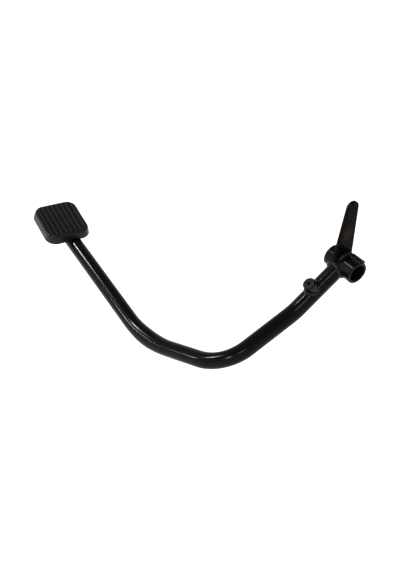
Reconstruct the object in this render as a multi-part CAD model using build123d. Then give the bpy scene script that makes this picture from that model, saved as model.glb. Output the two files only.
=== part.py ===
from build123d import *
import os
from math import asin, atan2, cos, degrees, hypot, radians, sin, sqrt

# Rear brake pedal: a bent steel tube with a pivot sleeve at one end and a foot plate at the other.
# Millimetres and degrees. The origin is the middle of the pivot bore, +X points forward to the foot,
# +Y runs along the pivot away from the foot's side, and +Z is up.

# Pivot sleeve
sleeve_length = 34.5
sleeve_diameter = 21.5
bore_diameter = 16.0
sleeve_chamfer = 0.8

# Arm tube. The first two bends lie in a plane square to the pivot, this far to the foot's side.
tube_diameter = 16.0
tube_wall = 2.0
arm_offset = 2.0
root_bend_forward = 50.0
root_bend_drop = 40.0
root_bend_radius = 55.0
side_bend_forward = 124.5
side_bend_drop = 75.0
side_bend_radius = 42.5
outer_bend_radius = 108.0

# Foot pad: the middle of its top face, its tilt about X, and how far its ribs turn from the pivot's line
pad_forward = 165.4
pad_side = 254.0
pad_drop = 50.0
pad_tilt = 12.0
rib_turn = -1.5

# The arm's last run, under the pad: behind the pad's middle, turned in the pad's plane
run_set_back = 2.9
run_turn = 3.0
run_length = 172.0
run_reach = 15.0

# Foot plate, inside the cover
plate_thickness = 3.0
plate_corner = 7.0

# Rubber cover
cover_width = 50.3
cover_length = 54.0
cover_height = 11.0
cover_corner = 12.0
cover_draft = 13.0
cover_top_edge = 4.5
cover_bottom_edge = 1.0
cover_wall = 5.8
cover_lip = 3.0
lip_reach = 3.0
cover_clearance = 0.2
notch_clearance = 0.3

# Ribs on the cover
rib_count = 8
rib_margin = 6.7
rib_width = 2.1
rib_height = 1.2
rib_edge = 0.6

# Rod lever, a plate that tapers to a round tip
lever_angle = 87.5
lever_length = 60.2
lever_shift = 3.5
lever_tip_radius = 6.1
lever_foot_width = 20.5
lever_foot_height = 6.0
lever_thickness = 4.0
lever_edge = 0.7

# Stop boss on the arm
boss_diameter = 12.0
boss_reach = 16.0
boss_place = 37.0
boss_edge = 0.9
boss_hole_diameter = 3.0
boss_hole_depth = 5.0

# Stop lug on the sleeve
lug_angle = 124.5
lug_width = 6.5
lug_height = 1.8
lug_edge = 0.6
lug_end_inset = 2.6
lug_gap = 0.3

# Weld beads, by the leg of their section, and the plate's beads by where they touch
arm_weld = 2.4
lever_weld = 2.2
boss_weld = 1.8
lug_weld = 1.2
plate_weld_root = 2.0
plate_weld_toe = 7.5
plate_weld_angle = 48.0
plate_weld_length = 22.0
weld_end_angle = 4.0

plate_width = cover_width - 2 * (cover_wall + cover_clearance)
plate_length = cover_length - 2 * (cover_wall + cover_clearance)
rib_pitch = (cover_width - 2 * rib_margin) / (rib_count - 1)
sleeve_radius = sleeve_diameter / 2
tube_radius = tube_diameter / 2
boss_radius = boss_diameter / 2

# Places that follow from the sizes above
pivot_axis = Vector(0, 1, 0)
arm_start = Vector(0, -arm_offset, 0)
root_bend = Vector(root_bend_forward, -arm_offset, -root_bend_drop)
side_bend = Vector(side_bend_forward, -arm_offset, -side_bend_drop)
root_direction = (root_bend - arm_start).normalized()
boss_direction = root_direction.cross(pivot_axis)
if boss_direction.Z < 0:
    boss_direction = -boss_direction

# The pad's top face, the cover turned on it, and the arm's last run below the plate
pad_face = Pos(pad_forward, -pad_side, -pad_drop) * Rot(X=-pad_tilt)
cover_frame = pad_face * Rot(Z=rib_turn)
plate_underside = cover_height - cover_lip
run_frame = pad_face * Pos(-run_set_back, 0, -plate_underside - tube_radius) * Rot(Z=run_turn)
outer_bend = (run_frame * Pos(0, run_length, 0)).position
arm_end = (run_frame * Pos(0, -run_reach, 0)).position


def rod_along_pivot(radius, length):
    """A round bar on the pivot's axis, centred on the origin."""
    return Rot(X=90) * Cylinder(radius, length)


def frame_at(origin, out, along):
    """A place whose Z points out and whose Y runs along a given direction."""
    return Plane(origin=origin, x_dir=along.cross(out), z_dir=out).location


def slab(width, length, corner, top, thickness):
    """A plate with round corners, hanging down from a height."""
    outline = Pos(0, 0, top - thickness) * RectangleRounded(width, length, corner)
    return extrude(outline, thickness)


def saddle_weld(main_radius, branch_radius, leg):
    """The bead round a branch that stands on a round bar: the bar lies along Y, the branch along Z."""
    reach = branch_radius + 2 * leg
    bar = rod_along_pivot(main_radius, 4 * reach)
    height = main_radius + 2 * reach
    branch = Pos(0, 0, height / 2) * Cylinder(branch_radius, height)
    joined = bar + branch
    corner = [e for e in joined.edges() if e.geom_type not in (GeomType.LINE, GeomType.CIRCLE)]
    return chamfer(corner, leg) - joined


def pivot_sleeve():
    sleeve = rod_along_pivot(sleeve_radius, sleeve_length)
    sleeve -= rod_along_pivot(bore_diameter / 2, sleeve_length)
    return chamfer(sleeve.edges().filter_by(GeomType.CIRCLE), sleeve_chamfer)


def arm_tube():
    path = FilletPolyline(
        arm_start, root_bend, side_bend, outer_bend, arm_end,
        radius=(root_bend_radius, side_bend_radius, outer_bend_radius))
    start = Plane(origin=path @ 0, z_dir=path % 0)
    ring = Circle(tube_radius) - Circle(tube_radius - tube_wall)
    tube = sweep(start * ring, path=path)
    # the root is cut to sit on the sleeve
    return tube - rod_along_pivot(sleeve_radius, 2 * sleeve_length)


def pad_plate():
    top = plate_thickness - plate_underside
    return cover_frame * slab(plate_width, plate_length, plate_corner, top, plate_thickness)


def cover_form():
    """The cover's outer form, solid, with its top at the height of the ribs."""
    base = Pos(0, 0, -cover_height) * RectangleRounded(cover_width, cover_length, cover_corner)
    form = extrude(base, cover_height, taper=cover_draft)
    form = fillet(form.faces().sort_by(Axis.Z)[-1].edges(), cover_top_edge)
    return chamfer(form.faces().sort_by(Axis.Z)[0].edges(), cover_bottom_edge)


def pad_cover():
    form = cover_form()
    above = Pos(0, 0, -rib_height) * Box(
        2 * cover_width, 2 * cover_length, cover_height, align=(Align.CENTER, Align.CENTER, Align.MIN))
    cover = form - above
    rib = Box(rib_width, cover_length, 2 * rib_height, align=(Align.CENTER, Align.CENTER, Align.MAX))
    rib = chamfer(rib.faces().sort_by(Axis.Z)[-1].edges().filter_by(Axis.Y), rib_edge)
    for index in range(rib_count):
        place = (index - (rib_count - 1) / 2) * rib_pitch
        cover += (Pos(place, 0, 0) * rib) & form
    # the pocket for the plate, and the opening inside the lip
    room = 2 * cover_clearance
    pocket_top = plate_thickness - plate_underside
    cover -= slab(plate_width + room, plate_length + room, plate_corner + cover_clearance,
                  pocket_top, plate_thickness)
    cover -= slab(plate_width - 2 * lip_reach, plate_length - 2 * lip_reach, plate_corner,
                  -plate_underside, cover_lip)
    notch = Pos(0, cover_length / 2, 0) * rod_along_pivot(tube_radius + notch_clearance, cover_length)
    return cover_frame * cover - run_frame * notch


def rod_lever():
    """The plate is drawn with the pivot's axis at the origin and its length along Y."""
    tip = Pos(lever_shift, lever_length) * Circle(lever_tip_radius)
    foot = Pos(lever_shift, lever_foot_height) * Rectangle(
        lever_foot_width, lever_tip_radius, align=(Align.CENTER, Align.MIN))
    outline = make_hull(tip.edges() + foot.edges())
    plate = extrude(outline, lever_thickness / 2, both=True)
    plate = chamfer(plate.faces().filter_by(Axis.Z).edges(), lever_edge)
    along = Vector(cos(radians(lever_angle)), 0, sin(radians(lever_angle)))
    plate = frame_at(arm_start, -pivot_axis, along) * plate
    return plate - rod_along_pivot(sleeve_radius, 2 * sleeve_length)


def boss_frame():
    return frame_at(arm_start + root_direction * boss_place, boss_direction, root_direction)


def stop_boss():
    boss = Pos(0, 0, boss_reach / 2) * Cylinder(boss_radius, boss_reach)
    boss = chamfer(boss.edges().sort_by(Axis.Z)[-1], boss_edge)
    boss -= rod_along_pivot(tube_radius, 4 * boss_diameter)
    boss -= Pos(0, 0, boss_reach) * Cylinder(boss_hole_diameter / 2, 2 * boss_hole_depth)
    return boss_frame() * boss


def lug_start():
    return -arm_offset + lever_thickness / 2 + lever_weld + lug_gap


def lug_block(overlap):
    """The lug as a bar along Y that stands on the sleeve's top, let into the sleeve by an overlap."""
    length = sleeve_length / 2 - lug_end_inset - lug_start()
    bar = Box(lug_width, length, lug_height + overlap, align=(Align.CENTER, Align.MIN, Align.MAX))
    bar = fillet(bar.faces().sort_by(Axis.Z)[-1].edges(), lug_edge)
    return Pos(0, lug_start(), sleeve_radius + lug_height) * bar


def lug_frame():
    return Rot(Y=90 - lug_angle)


def stop_lug():
    lug = lug_block(sleeve_radius / 2) - rod_along_pivot(sleeve_radius, 2 * sleeve_length)
    return lug_frame() * lug


def weld_arm():
    return frame_at(arm_start, root_direction, pivot_axis) * saddle_weld(sleeve_radius, tube_radius, arm_weld)


def weld_boss():
    return boss_frame() * saddle_weld(tube_radius, boss_radius, boss_weld)


def weld_lever():
    """Two beads along the foot of the lever, one on each face, turned about the pivot's axis."""
    half_foot = lever_foot_width / 2
    front = degrees(atan2(sqrt(sleeve_radius**2 - lever_foot_height**2), lever_foot_height))
    rear = degrees(asin((half_foot - lever_shift) / sleeve_radius))
    sweep_angle = front + rear - 2 * weld_end_angle
    first = lever_angle - front + weld_end_angle
    section = Plane.XY * make_face(Polyline(
        (sleeve_radius, 0), (sleeve_radius + lever_weld, 0), (sleeve_radius, lever_weld), close=True))
    bead = Rot(Y=-first) * revolve(section, Axis.Y, -sweep_angle)
    near = Pos(0, lever_thickness / 2 - arm_offset, 0) * bead
    far = mirror(near, Plane(origin=arm_start, z_dir=pivot_axis))
    return near + far


def weld_lug():
    """The two long beads beside the lug."""
    joined = rod_along_pivot(sleeve_radius, 2 * sleeve_length) + lug_block(sleeve_radius / 2)
    sides = [e for e in joined.edges().filter_by(Axis.Y)
             if abs(hypot(e.center().X, e.center().Z) - sleeve_radius) < lug_height / 2 and e.center().Z > 0]
    return lug_frame() * (chamfer(sides, lug_weld) - joined)


def weld_plate():
    """Two beads between the plate and the tube under it."""
    angle = radians(plate_weld_angle)
    low = (tube_radius * sin(angle), tube_radius * cos(angle))
    outline = Polyline(
        (plate_weld_root, tube_radius), (plate_weld_toe, tube_radius), low,
        (plate_weld_root, low[1]), close=True)
    section = make_face(outline) - Circle(tube_radius)
    bead = Rot(X=90) * extrude(section, plate_weld_length / 2, both=True)
    return run_frame * (bead + mirror(bead, Plane.YZ))


pieces = {
    "pivot_sleeve": pivot_sleeve(),
    "arm_tube": arm_tube(),
    "pad_plate": pad_plate(),
    "pad_cover": pad_cover(),
    "rod_lever": rod_lever(),
    "stop_boss": stop_boss(),
    "stop_lug": stop_lug(),
    "weld_arm": weld_arm(),
    "weld_lever": weld_lever(),
    "weld_boss": weld_boss(),
    "weld_lug": weld_lug(),
    "weld_plate": weld_plate(),
}

os.makedirs("parts", exist_ok=True)
for name, shape in pieces.items():
    export_step(shape, f"parts/{name}.step")
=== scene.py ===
import math

import bpy
from mathutils import Matrix, Vector


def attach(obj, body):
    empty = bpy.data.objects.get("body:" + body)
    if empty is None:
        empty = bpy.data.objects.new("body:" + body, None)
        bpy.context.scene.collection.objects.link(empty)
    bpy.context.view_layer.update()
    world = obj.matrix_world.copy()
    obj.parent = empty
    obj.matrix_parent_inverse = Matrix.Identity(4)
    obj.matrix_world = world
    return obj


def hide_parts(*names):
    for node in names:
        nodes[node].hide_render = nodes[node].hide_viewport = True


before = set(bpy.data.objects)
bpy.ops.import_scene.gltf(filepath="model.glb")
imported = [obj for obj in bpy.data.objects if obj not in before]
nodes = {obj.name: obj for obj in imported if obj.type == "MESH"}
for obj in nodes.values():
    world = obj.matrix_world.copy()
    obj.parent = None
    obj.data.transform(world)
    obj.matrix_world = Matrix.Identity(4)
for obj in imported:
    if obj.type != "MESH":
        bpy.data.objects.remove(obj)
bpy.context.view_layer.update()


# Arm tube
# A drawn steel tube bent three times, welded to the pivot sleeve and sprayed with it in gloss black enamel.
# The press left it a little wide at the outer bend and a little narrow at the side bend.

tube_radius = 0.008
tube_wall = 0.002
arm_start = Vector((0, -0.002, 0))
root_bend = Vector((0.0500, -0.002, -0.0400))
side_bend = Vector((0.1245, -0.002, -0.0750))
outer_bend = Vector((0.1535, -0.0893, -0.1014))
arm_end = Vector((0.1633, -0.2720, -0.0625))
root_bend_radius = 0.055
side_bend_radius = 0.0425
outer_bend_radius = 0.108
side_bend_pinch = 0.00045
outer_bend_spread = 0.00085
sleeve_radius = 0.01075
pivot_way = Vector((0, 1, 0))
root_way = (root_bend - arm_start).normalized()
path_step = 0.002
tube_steps = 72
sharp_turn = math.radians(50)

enamel_black = (0.0026, 0.0026, 0.003)
peel_scale = 900.0
peel_depth = 0.000002
wave_scale = 110.0
wave_share = 0.6
dust_grey = (0.16, 0.155, 0.15)
dust_scale = 2300.0
dust_share = 0.05
dust_roughness = 0.6


def paint_skin_group():
    """How a sprayed coat lies on steel: a fine orange peel over slow waves, and specks of settled dust."""
    group = bpy.data.node_groups.new("paint_skin", "ShaderNodeTree")
    for label in ("Peel Scale", "Wave Scale", "Wave Share", "Dust Scale", "Dust Share"):
        group.interface.new_socket(label, in_out="INPUT", socket_type="NodeSocketFloat")
    for label in ("Height", "Dust Mask"):
        group.interface.new_socket(label, in_out="OUTPUT", socket_type="NodeSocketFloat")
    tree = group.nodes
    given = tree.new("NodeGroupInput")
    out = tree.new("NodeGroupOutput")
    place = tree.new("ShaderNodeTexCoord")

    peel = tree.new("ShaderNodeTexNoise")
    peel.inputs["Detail"].default_value = 1.0
    wave = tree.new("ShaderNodeTexNoise")
    wave.inputs["Detail"].default_value = 1.0
    dust = tree.new("ShaderNodeTexNoise")
    dust.inputs["Detail"].default_value = 2.0
    for noise, scale in ((peel, "Peel Scale"), (wave, "Wave Scale"), (dust, "Dust Scale")):
        group.links.new(place.outputs["Object"], noise.inputs["Vector"])
        group.links.new(given.outputs[scale], noise.inputs["Scale"])

    height = tree.new("ShaderNodeMix")
    group.links.new(given.outputs["Wave Share"], height.inputs["Factor"])
    group.links.new(peel.outputs["Fac"], height.inputs["A"])
    group.links.new(wave.outputs["Fac"], height.inputs["B"])
    group.links.new(height.outputs["Result"], out.inputs["Height"])

    specks = tree.new("ShaderNodeMapRange")
    specks.inputs["From Min"].default_value = 0.66
    specks.inputs["From Max"].default_value = 0.78
    settled = tree.new("ShaderNodeMath")
    settled.operation = "MULTIPLY"
    group.links.new(dust.outputs["Fac"], specks.inputs["Value"])
    group.links.new(specks.outputs["Result"], settled.inputs[0])
    group.links.new(given.outputs["Dust Share"], settled.inputs[1])
    group.links.new(settled.outputs["Value"], out.inputs["Dust Mask"])
    return group


paint_skin = paint_skin_group()


def gloss_enamel(name, roughness, gloss):
    """Black enamel sprayed over steel, with dust that dulls it in specks."""
    material = bpy.data.materials.new(name)
    material.use_nodes = True
    tree = material.node_tree
    shader = tree.nodes["Principled BSDF"]
    shader.inputs["Specular IOR Level"].default_value = gloss
    skin = tree.nodes.new("ShaderNodeGroup")
    skin.node_tree = paint_skin
    skin.inputs["Peel Scale"].default_value = peel_scale
    skin.inputs["Wave Scale"].default_value = wave_scale
    skin.inputs["Wave Share"].default_value = wave_share
    skin.inputs["Dust Scale"].default_value = dust_scale
    skin.inputs["Dust Share"].default_value = dust_share
    bump = tree.nodes.new("ShaderNodeBump")
    bump.inputs["Strength"].default_value = 1.0
    bump.inputs["Distance"].default_value = peel_depth
    tree.links.new(skin.outputs["Height"], bump.inputs["Height"])
    tree.links.new(bump.outputs["Normal"], shader.inputs["Normal"])
    colours = tree.nodes.new("ShaderNodeMix")
    colours.data_type = "RGBA"
    colours.inputs["A"].default_value = (*enamel_black, 1)
    colours.inputs["B"].default_value = (*dust_grey, 1)
    tree.links.new(skin.outputs["Dust Mask"], colours.inputs["Factor"])
    tree.links.new(colours.outputs["Result"], shader.inputs["Base Color"])
    sheen = tree.nodes.new("ShaderNodeMapRange")
    sheen.inputs["To Min"].default_value = roughness
    sheen.inputs["To Max"].default_value = dust_roughness
    tree.links.new(skin.outputs["Dust Mask"], sheen.inputs["Value"])
    tree.links.new(sheen.outputs["Result"], shader.inputs["Roughness"])
    return material


frame_enamel = gloss_enamel("frame_enamel", roughness=0.15, gloss=0.08)


def steel_piece(name, node, points, faces, material):
    """Makes an enamelled piece from a mesh, in place of its CAD node."""
    mesh = bpy.data.meshes.new(name)
    mesh.from_pydata(points, [], faces)
    mesh.shade_smooth()
    mesh.materials.append(material)
    piece = bpy.data.objects.new(name, mesh)
    bpy.context.scene.collection.objects.link(piece)
    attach(piece, "root")
    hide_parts(node)
    return piece


def closed_skin(name, node, rings):
    """Makes a piece from rings of points, each joined to the next and the last to the first."""
    around = len(rings[0])
    points = [point for ring in rings for point in ring]
    faces = []
    for index in range(len(rings)):
        here = index * around
        there = (index + 1) % len(rings) * around
        for step in range(around):
            after = (step + 1) % around
            faces.append((here + step, here + after, there + after, there + step))
    piece = steel_piece(name, node, points, faces, frame_enamel)
    piece.data.set_sharp_from_angle(angle=sharp_turn)
    piece.modifiers.new("even", "WEIGHTED_NORMAL").keep_sharp = True


def straight_stations(start, end):
    """Stations along a straight run: the middle, the way ahead, a way outward and the depth of the press."""
    count = max(1, round((end - start).length / path_step))
    way = (end - start).normalized()
    return [(start.lerp(end, index / count), way, way, 0.0) for index in range(count)]


def bent_stations(start, bends, end):
    """Stations along a tube that bends at each corner by its radius, marked by the press to its depth."""
    corners = [start] + [corner for corner, radius, depth in bends] + [end]
    stations = []
    here = start
    for index, (corner, radius, depth) in enumerate(bends, 1):
        back = (corners[index - 1] - corner).normalized()
        ahead = (corners[index + 1] - corner).normalized()
        turn = math.pi - back.angle(ahead)
        reach = radius * math.tan(turn / 2)
        centre = corner + (back + ahead).normalized() * radius / math.cos(turn / 2)
        stations += straight_stations(here, corner + back * reach)
        axis = ahead.cross(back).normalized()
        count = round(radius * turn / path_step)
        for step in range(count):
            swing = Matrix.Rotation(turn * step / count, 3, axis)
            outward = swing @ (corner + back * reach - centre)
            press = depth * math.sin(math.pi * step / count)**2
            stations.append((centre + outward, -(swing @ back), outward.normalized(), press))
        here = corner + ahead * reach
    stations += straight_stations(here, end)
    last_way = (end - here).normalized()
    stations.append((end, last_way, last_way, 0.0))
    return stations


def tube_rings(stations, radius):
    """Rings round a path, led by one that is cut to sit on the sleeve."""
    rings = []
    side = pivot_way
    for middle, way, outward, press in stations:
        side = (side - way * side.dot(way)).normalized()
        up = way.cross(side)
        ring = []
        for step in range(tube_steps):
            turn = math.tau * step / tube_steps
            radial = side * math.cos(turn) + up * math.sin(turn)
            ring.append(middle + radial * (radius + press * radial.dot(outward)**2))
        rings.append(ring)
    cut = []
    for step in range(tube_steps):
        turn = math.tau * step / tube_steps
        height = radius * math.sin(turn)
        radial = pivot_way * math.cos(turn) * radius + root_way.cross(pivot_way) * height
        cut.append(arm_start + radial + root_way * math.sqrt(sleeve_radius**2 - height**2))
    return [cut] + rings


arm_bends = [
    (root_bend, root_bend_radius, 0.0),
    (side_bend, side_bend_radius, -side_bend_pinch),
    (outer_bend, outer_bend_radius, outer_bend_spread)]
arm_path = bent_stations(arm_start + root_way * (sleeve_radius + path_step), arm_bends, arm_end)
outer_rings = tube_rings(arm_path, tube_radius)
inner_rings = tube_rings(arm_path, tube_radius - tube_wall)
closed_skin("arm", "arm_tube", outer_rings + inner_rings[::-1])


# Pivot sleeve
# A turned steel cross tube that runs on the pivot pin, chamfered at both ends.
# It is painted with the arm, inside the bore too, and the paint rounds its edges.

sleeve_length = 0.0345
bore_radius = 0.008
sleeve_chamfer = 0.0008
sleeve_steps = 96
edge_round = 0.00025
edge_steps = 4


def soften(profile):
    """Rounds the corners of a closed profile as thick paint does."""
    soft = []
    for index, corner in enumerate(profile):
        before = corner + (profile[index - 1] - corner).normalized() * edge_round
        after = corner + (profile[(index + 1) % len(profile)] - corner).normalized() * edge_round
        for step in range(edge_steps + 1):
            t = step / edge_steps
            soft.append(before * (1 - t)**2 + corner * 2 * t * (1 - t) + after * t**2)
    return soft


def turned(profile):
    """Rings round the pivot's line, through each point of a profile of distances from it and along it."""
    side = Vector((1, 0, 0))
    up = pivot_way.cross(side)
    rings = []
    for reach, along in profile:
        ring = []
        for step in range(sleeve_steps):
            turn = math.tau * step / sleeve_steps
            ring.append(pivot_way * along + (side * math.cos(turn) + up * math.sin(turn)) * reach)
        rings.append(ring)
    return rings


sleeve_end = sleeve_length / 2
chamfer_start = sleeve_end - sleeve_chamfer
sleeve_profile = [Vector(corner) for corner in (
    (sleeve_radius - sleeve_chamfer, -sleeve_end), (sleeve_radius, -chamfer_start),
    (sleeve_radius, chamfer_start), (sleeve_radius - sleeve_chamfer, sleeve_end),
    (bore_radius + sleeve_chamfer, sleeve_end), (bore_radius, chamfer_start),
    (bore_radius, -chamfer_start), (bore_radius + sleeve_chamfer, -sleeve_end))]
closed_skin("sleeve", "pivot_sleeve", turned(soften(sleeve_profile)))


# Rod lever
# A flat steel plate cut to a taper with a round tip, standing on the sleeve in its own weld.
# Its enamel is a little duller, and a faint brown patch shows on one face, where the coat is thin.

lever_thickness = 0.004
lever_angle = math.radians(87.5)
lever_foot_width = 0.0205
lever_foot_height = 0.006
lever_shift = 0.0035

patch_middle = Vector((0.0056, 0, 0.0338))
patch_reach = Vector((0.0075, 0.004, 0.0088))
patch_brown = (0.026, 0.013, 0.006)
patch_raggedness = 260.0


def thin_patch_group():
    """How strongly a ragged patch of thin paint shows, from its middle outward."""
    group = bpy.data.node_groups.new("thin_patch", "ShaderNodeTree")
    for label in ("Middle", "Reach"):
        group.interface.new_socket(label, in_out="INPUT", socket_type="NodeSocketVector")
    group.interface.new_socket("Mask", in_out="OUTPUT", socket_type="NodeSocketFloat")
    tree = group.nodes
    given = tree.new("NodeGroupInput")
    out = tree.new("NodeGroupOutput")
    place = tree.new("ShaderNodeTexCoord")
    offset = tree.new("ShaderNodeVectorMath")
    offset.operation = "SUBTRACT"
    scaled = tree.new("ShaderNodeVectorMath")
    scaled.operation = "DIVIDE"
    away = tree.new("ShaderNodeVectorMath")
    away.operation = "LENGTH"
    ragged = tree.new("ShaderNodeTexNoise")
    ragged.inputs["Scale"].default_value = patch_raggedness
    ragged.inputs["Detail"].default_value = 4.0
    edge = tree.new("ShaderNodeMath")
    fade = tree.new("ShaderNodeMapRange")
    fade.inputs["From Min"].default_value = 1.5
    fade.inputs["From Max"].default_value = 0.7
    group.links.new(place.outputs["Object"], offset.inputs[0])
    group.links.new(given.outputs["Middle"], offset.inputs[1])
    group.links.new(offset.outputs["Vector"], scaled.inputs[0])
    group.links.new(given.outputs["Reach"], scaled.inputs[1])
    group.links.new(scaled.outputs["Vector"], away.inputs[0])
    group.links.new(place.outputs["Object"], ragged.inputs["Vector"])
    group.links.new(away.outputs["Value"], edge.inputs[0])
    group.links.new(ragged.outputs["Fac"], edge.inputs[1])
    group.links.new(edge.outputs["Value"], fade.inputs["Value"])
    group.links.new(fade.outputs["Result"], out.inputs["Mask"])
    return group


def add_thin_patch(material):
    """Browns an enamel where its coat is thin."""
    tree = material.node_tree
    shader = tree.nodes["Principled BSDF"]
    patch = tree.nodes.new("ShaderNodeGroup")
    patch.node_tree = thin_patch_group()
    patch.inputs["Middle"].default_value = patch_middle
    patch.inputs["Reach"].default_value = patch_reach
    browned = tree.nodes.new("ShaderNodeMix")
    browned.data_type = "RGBA"
    browned.inputs["B"].default_value = (*patch_brown, 1)
    coat = shader.inputs["Base Color"].links[0].from_socket
    tree.links.new(patch.outputs["Mask"], browned.inputs["Factor"])
    tree.links.new(coat, browned.inputs["A"])
    tree.links.new(browned.outputs["Result"], shader.inputs["Base Color"])


def paint(node, material):
    """Gives a CAD node its finish."""
    piece = nodes[node]
    piece.data.materials.clear()
    piece.data.materials.append(material)


def round_edges(node, width):
    """Rounds a CAD node's sharp edges by a small radius."""
    piece = nodes[node]
    seam = piece.modifiers.new("seam", "WELD")
    seam.merge_threshold = 0.000002
    edge = piece.modifiers.new("edge", "BEVEL")
    edge.width = width
    edge.segments = 3
    edge.limit_method = "ANGLE"
    edge.angle_limit = math.radians(30)
    edge.harden_normals = True


lever_enamel = gloss_enamel("lever_enamel", roughness=0.2, gloss=0.02)
add_thin_patch(lever_enamel)
paint("rod_lever", lever_enamel)
round_edges("rod_lever", edge_round)


# Stop boss and stop lug
# A short turned steel boss stands on the arm, and a flat steel strip lies along the top of the sleeve.
# Both are welded on, and have the arm's paint over slightly rounded edges.

boss_radius = 0.006
boss_place = 0.037
lug_angle = math.radians(124.5)
lug_width = 0.0065
lug_start = 0.0025
lug_length = 0.01215

for node in ("stop_boss", "stop_lug"):
    paint(node, frame_enamel)
    round_edges(node, edge_round)


# Weld beads
# Beads laid by hand round each joint before the paint, with the ripples of the puddle still in them.
# A bead is one or more runs of stations, each with its root and the two ways it spreads over the steel.

arm_weld = 0.0024
boss_weld = 0.0018
lever_weld = 0.0022
lug_weld = 0.0012
lever_weld_margin = math.radians(2)

ripple_pitch = 0.0017
ripple_height = 0.00012
ripple_lag = 0.4
ripple_steps = 8
section_steps = 8
bead_sink = 0.0003
bead_bulge = 0.7
waver_depth = 0.05
waver_count = 3
boss_swell = 0.5
swell_place = 0.18
swell_narrowness = 40
least_end = 0.02

bead_enamel = gloss_enamel("bead_enamel", roughness=0.14, gloss=0.16)


def bead_size(travelled, length, leg, closed, swell):
    """How large a bead is along its run: it wavers, may swell at one part, and tapers off at open ends."""
    share = travelled / length
    size = leg * (1 + waver_depth * math.sin(waver_count * math.tau * share))
    size *= 1 + swell * math.exp(-swell_narrowness * (share - swell_place)**2)
    if not closed:
        end = min(travelled, length - travelled, leg) / leg
        size *= math.sqrt(max(least_end, 1 - (1 - end)**2))
    return size


def add_bead_run(points, faces, run, ways, leg, closed, swell):
    """Adds the skin of one run of bead: a curved section swept along its roots, with ripples."""
    first = len(points)
    ring = section_steps + 2
    travelled = 0.0
    length = sum((b - a).length for a, b in zip(run, run[1:]))
    if closed:
        length += (run[0] - run[-1]).length
    ripples = round(length / ripple_pitch)
    for index, (root, (up, out)) in enumerate(zip(run, ways)):
        if index:
            travelled += (root - run[index - 1]).length
        phase = travelled / length * ripples
        size = bead_size(travelled, length, leg, closed, swell)
        outward = (up + out).normalized()
        for step in range(section_steps + 1):
            t = step / section_steps
            near = (1 - t)**2 + 2 * t * (1 - t) * bead_bulge
            far = t**2 + 2 * t * (1 - t) * bead_bulge
            wave = (phase + ripple_lag * (2 * t - 1)**2) % 1
            crest = ripple_height * (1 - (2 * wave - 1)**2) * math.sin(math.pi * t)
            points.append(root + (up * near + out * far) * size + outward * crest)
        points.append(root - outward * bead_sink)
    count = len(run)
    for index in range(count if closed else count - 1):
        here = first + index * ring
        there = first + (index + 1) % count * ring
        for step in range(ring):
            after = (step + 1) % ring
            faces.append((here + step, there + step, there + after, here + after))
    if not closed:
        last = first + (count - 1) * ring
        faces.append(tuple(first + step for step in range(ring)))
        faces.append(tuple(last + step for step in reversed(range(ring))))


def bead(name, node, runs, leg, closed, swell=0.0):
    """Builds one bead piece from its runs, each a list of roots and a list of the ways it spreads."""
    points = []
    faces = []
    for run, ways in runs:
        add_bead_run(points, faces, run, ways, leg, closed, swell)
    steel_piece(name, node, points, faces, bead_enamel)


def saddle_run(origin, bar_way, branch_way, bar_radius, branch_radius):
    """The stations round a branch that stands on a round bar."""
    across = bar_way.cross(branch_way).normalized()
    upright = across.cross(bar_way).normalized()
    count = round(math.tau * branch_radius / ripple_pitch) * ripple_steps
    run = []
    ways = []
    for index in range(count):
        turn = math.tau * index / count
        side = branch_radius * math.cos(turn)
        height = math.sqrt(bar_radius**2 - side**2)
        radial = across * math.cos(turn) + bar_way * math.sin(turn)
        bar_normal = (across * side + upright * height).normalized()
        travel = bar_normal.cross(radial).normalized()
        out = travel.cross(bar_normal)
        up = radial.cross(travel)
        run.append(origin + radial * branch_radius + upright * height)
        ways.append((up if up.dot(upright) > 0 else -up, out if out.dot(radial) > 0 else -out))
    return run, ways


def lever_runs():
    """One run along each face of the lever's foot, round the sleeve."""
    foot_reach = math.sqrt(sleeve_radius**2 - lever_foot_height**2)
    back_reach = lever_foot_width / 2 - lever_shift
    front = lever_angle - math.atan2(foot_reach, lever_foot_height) + lever_weld_margin
    rear = lever_angle + math.asin(back_reach / sleeve_radius) - lever_weld_margin
    count = round(sleeve_radius * (rear - front) / ripple_pitch) * ripple_steps
    turns = [front + (rear - front) * index / count for index in range(count + 1)]
    radials = [Vector((math.cos(turn), 0, math.sin(turn))) for turn in turns]
    runs = []
    for face_way in (pivot_way, -pivot_way):
        face_place = arm_start + face_way * lever_thickness / 2
        roots = [face_place + radial * sleeve_radius for radial in radials]
        runs.append((roots, [(radial, face_way) for radial in radials]))
    return runs


def lug_runs():
    """One straight run along each side of the lug."""
    lug_up = Vector((math.cos(lug_angle), 0, math.sin(lug_angle)))
    lug_across = pivot_way.cross(lug_up)
    lug_rise = math.sqrt(sleeve_radius**2 - lug_width**2 / 4)
    count = round(lug_length / ripple_pitch) * ripple_steps
    steps_along = [pivot_way * (lug_start + lug_length * index / count) for index in range(count + 1)]
    runs = []
    for side_way in (lug_across, -lug_across):
        edge_place = lug_up * lug_rise + side_way * lug_width / 2
        out = (side_way * lug_rise - lug_up * lug_width / 2).normalized()
        runs.append(([edge_place + step for step in steps_along], [(lug_up, out)] * (count + 1)))
    return runs


arm_run = saddle_run(arm_start, pivot_way, root_way, sleeve_radius, tube_radius)
boss_foot = arm_start + root_way * boss_place
boss_way = root_way.cross(pivot_way).normalized()
boss_run = saddle_run(boss_foot, root_way, boss_way, tube_radius, boss_radius)
bead("arm_bead", "weld_arm", [arm_run], arm_weld, closed=True)
bead("boss_bead", "weld_boss", [boss_run], boss_weld, closed=True, swell=boss_swell)
bead("lever_bead", "weld_lever", lever_runs(), lever_weld, closed=False)
bead("lug_bead", "weld_lug", lug_runs(), lug_weld, closed=False)


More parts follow.
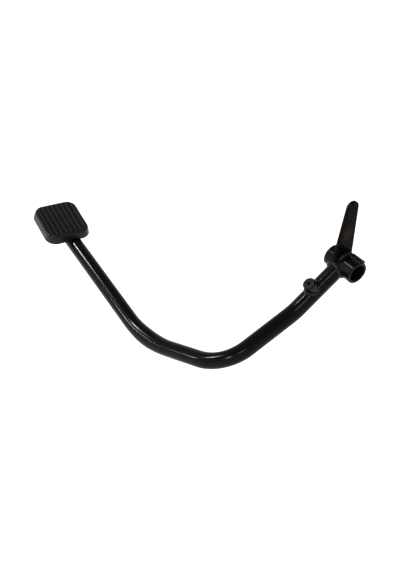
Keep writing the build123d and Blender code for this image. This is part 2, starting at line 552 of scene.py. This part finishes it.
# Foot plate
# A flat steel plate with two weld beads that hold it on the end of the arm.
# The rubber cover hides them, so they have the arm's plain paint.

for node in ("weld_plate", "pad_plate"):
    paint(node, frame_enamel)


# Pad cover
# A moulded rubber cover with deep drafted walls and eight ribs across its top.
# It is pulled over the foot plate and held by the lip behind it.

cover_edge_round = 0.0003
rubber_black = (0.0045, 0.0045, 0.0048)
rubber_gloss = 0.18
grain_scale = 1500.0
grain_depth = 0.00001


def pad_rubber():
    """Satin black rubber with the fine grain of its mould."""
    material = bpy.data.materials.new("pad_rubber")
    material.use_nodes = True
    tree = material.node_tree
    shader = tree.nodes["Principled BSDF"]
    shader.inputs["Base Color"].default_value = (*rubber_black, 1)
    shader.inputs["Specular IOR Level"].default_value = rubber_gloss
    place = tree.nodes.new("ShaderNodeTexCoord")
    grain = tree.nodes.new("ShaderNodeTexNoise")
    grain.inputs["Scale"].default_value = grain_scale
    grain.inputs["Detail"].default_value = 3.0
    tree.links.new(place.outputs["Object"], grain.inputs["Vector"])
    bump = tree.nodes.new("ShaderNodeBump")
    bump.inputs["Strength"].default_value = 1.0
    bump.inputs["Distance"].default_value = grain_depth
    tree.links.new(grain.outputs["Fac"], bump.inputs["Height"])
    tree.links.new(bump.outputs["Normal"], shader.inputs["Normal"])
    sheen = tree.nodes.new("ShaderNodeMapRange")
    sheen.inputs["To Min"].default_value = 0.24
    sheen.inputs["To Max"].default_value = 0.32
    tree.links.new(grain.outputs["Fac"], sheen.inputs["Value"])
    tree.links.new(sheen.outputs["Result"], shader.inputs["Roughness"])
    return material


paint("pad_cover", pad_rubber())
round_edges("pad_cover", cover_edge_round)


# Studio
# A white floor and a pale surround, made lighter only where the camera, a mirror or glass sees them.
# Lamps: a strip high ahead, a small one low in front for the outer bend, and two soft boxes by the camera.

floor_height = -0.30
floor_reach = 20.0
floor_white = (0.88, 0.88, 0.88)
floor_lift = 0.6
surround_light = 0.35
low_sky = 1.1
high_sky = 0.3
pedal_middle = Vector((0.08, -0.10, -0.05))
bend_top = Vector((0.1585, -0.093, -0.093))


def seen_directly(tree):
    """A value that is 1 for what the camera sees straight, in a mirror or through glass."""
    ray = tree.nodes.new("ShaderNodeLightPath")
    mirrored = tree.nodes.new("ShaderNodeMath")
    mirrored.operation = "MAXIMUM"
    tree.links.new(ray.outputs["Is Camera Ray"], mirrored.inputs[0])
    tree.links.new(ray.outputs["Is Glossy Ray"], mirrored.inputs[1])
    through = tree.nodes.new("ShaderNodeMath")
    through.operation = "MAXIMUM"
    tree.links.new(mirrored.outputs["Value"], through.inputs[0])
    tree.links.new(ray.outputs["Is Transmission Ray"], through.inputs[1])
    return through.outputs["Value"]


def floor_paint():
    """Matt white, made lighter where it is seen directly."""
    material = bpy.data.materials.new("floor_paint")
    material.use_nodes = True
    tree = material.node_tree
    shader = tree.nodes["Principled BSDF"]
    shader.inputs["Base Color"].default_value = (*floor_white, 1)
    shader.inputs["Roughness"].default_value = 0.9
    shader.inputs["Specular IOR Level"].default_value = 0.0
    shader.inputs["Emission Color"].default_value = (1, 1, 1, 1)
    lift = tree.nodes.new("ShaderNodeMath")
    lift.operation = "MULTIPLY"
    lift.inputs[1].default_value = floor_lift
    tree.links.new(seen_directly(tree), lift.inputs[0])
    tree.links.new(lift.outputs["Value"], shader.inputs["Emission Strength"])
    return material


def pale_surround():
    """Even light from all round, seen directly as white that falls off to grey overhead."""
    world = bpy.data.worlds.new("surround")
    world.use_nodes = True
    tree = world.node_tree
    background = tree.nodes["Background"]
    background.inputs["Color"].default_value = (1, 1, 1, 1)
    sky = tree.nodes.new("ShaderNodeTexCoord")
    height = tree.nodes.new("ShaderNodeSeparateXYZ")
    ceiling = tree.nodes.new("ShaderNodeMapRange")
    ceiling.inputs["From Min"].default_value = 0.3
    ceiling.inputs["From Max"].default_value = 0.75
    ceiling.inputs["To Min"].default_value = low_sky
    ceiling.inputs["To Max"].default_value = high_sky
    level = tree.nodes.new("ShaderNodeMix")
    level.inputs["A"].default_value = surround_light
    tree.links.new(sky.outputs["Generated"], height.inputs["Vector"])
    tree.links.new(height.outputs["Z"], ceiling.inputs["Value"])
    tree.links.new(ceiling.outputs["Result"], level.inputs["B"])
    tree.links.new(seen_directly(tree), level.inputs["Factor"])
    tree.links.new(level.outputs["Result"], background.inputs["Strength"])
    return world


def soft_light(name, target, direction, distance, wide, narrow, power):
    """A soft box that faces a target from a direction, narrow along the pivot's way."""
    lamp = bpy.data.lights.new(name, "AREA")
    lamp.shape = "RECTANGLE"
    lamp.size = wide
    lamp.size_y = narrow
    lamp.energy = power
    holder = bpy.data.objects.new(name, lamp)
    back = Vector(direction).normalized()
    across = pivot_way.cross(back).normalized()
    up = back.cross(across)
    turn = Matrix((across, up, back)).transposed()
    holder.matrix_world = Matrix.Translation(target + back * distance) @ turn.to_4x4()
    bpy.context.scene.collection.objects.link(holder)


floor_sides = [(-1, -1), (1, -1), (1, 1), (-1, 1)]
floor_corners = [(x * floor_reach, y * floor_reach, floor_height) for x, y in floor_sides]
floor_mesh = bpy.data.meshes.new("studio_floor")
floor_mesh.from_pydata(floor_corners, [], [(0, 1, 2, 3)])
floor_mesh.materials.append(floor_paint())
floor = bpy.data.objects.new("studio_floor", floor_mesh)
bpy.context.scene.collection.objects.link(floor)
bpy.context.scene.world = pale_surround()

soft_light("key_strip", pedal_middle, (0.55, -0.45, 0.71), distance=6.0, wide=0.9, narrow=0.18, power=230)
soft_light("front_lamp", bend_top, (0.84, -0.41, 0.36), distance=1.0, wide=0.09, narrow=0.05, power=1.8)
soft_light("side_lamp", pedal_middle, (0.71, 0.46, 0.53), distance=3.0, wide=0.25, narrow=0.22, power=24)
soft_light("camera_box", pedal_middle, (0.41, 0.56, 0.72), distance=3.0, wide=0.7, narrow=0.22, power=12)


# Camera
# It stands where the photograph was taken from: ahead of the pedal, to its left and above it.
# It is turned a little about its own line of sight, so that the pedal lies as it does there.

camera_place = Vector((0.41973, 0.34747, 0.35776))
camera_azimuth = math.radians(53.332)
camera_elevation = math.radians(37.021)
camera_roll = math.radians(5.974)

lens = bpy.data.cameras.new("camera")
lens.sensor_width = 36.0
lens.lens = 44.21
camera = bpy.data.objects.new("camera", lens)
level_back = Vector((math.cos(camera_azimuth), math.sin(camera_azimuth), 0))
camera_back = level_back * math.cos(camera_elevation) + Vector((0, 0, math.sin(camera_elevation)))
level_right = Vector((-math.sin(camera_azimuth), math.cos(camera_azimuth), 0))
camera_right = Matrix.Rotation(camera_roll, 3, camera_back) @ level_right
camera_up = camera_back.cross(camera_right)
turn = Matrix((camera_right, camera_up, camera_back)).transposed()
camera.matrix_world = Matrix.Translation(camera_place) @ turn.to_4x4()
bpy.context.scene.collection.objects.link(camera)
bpy.context.scene.camera = camera

bpy.context.scene.view_settings.view_transform = "Standard"
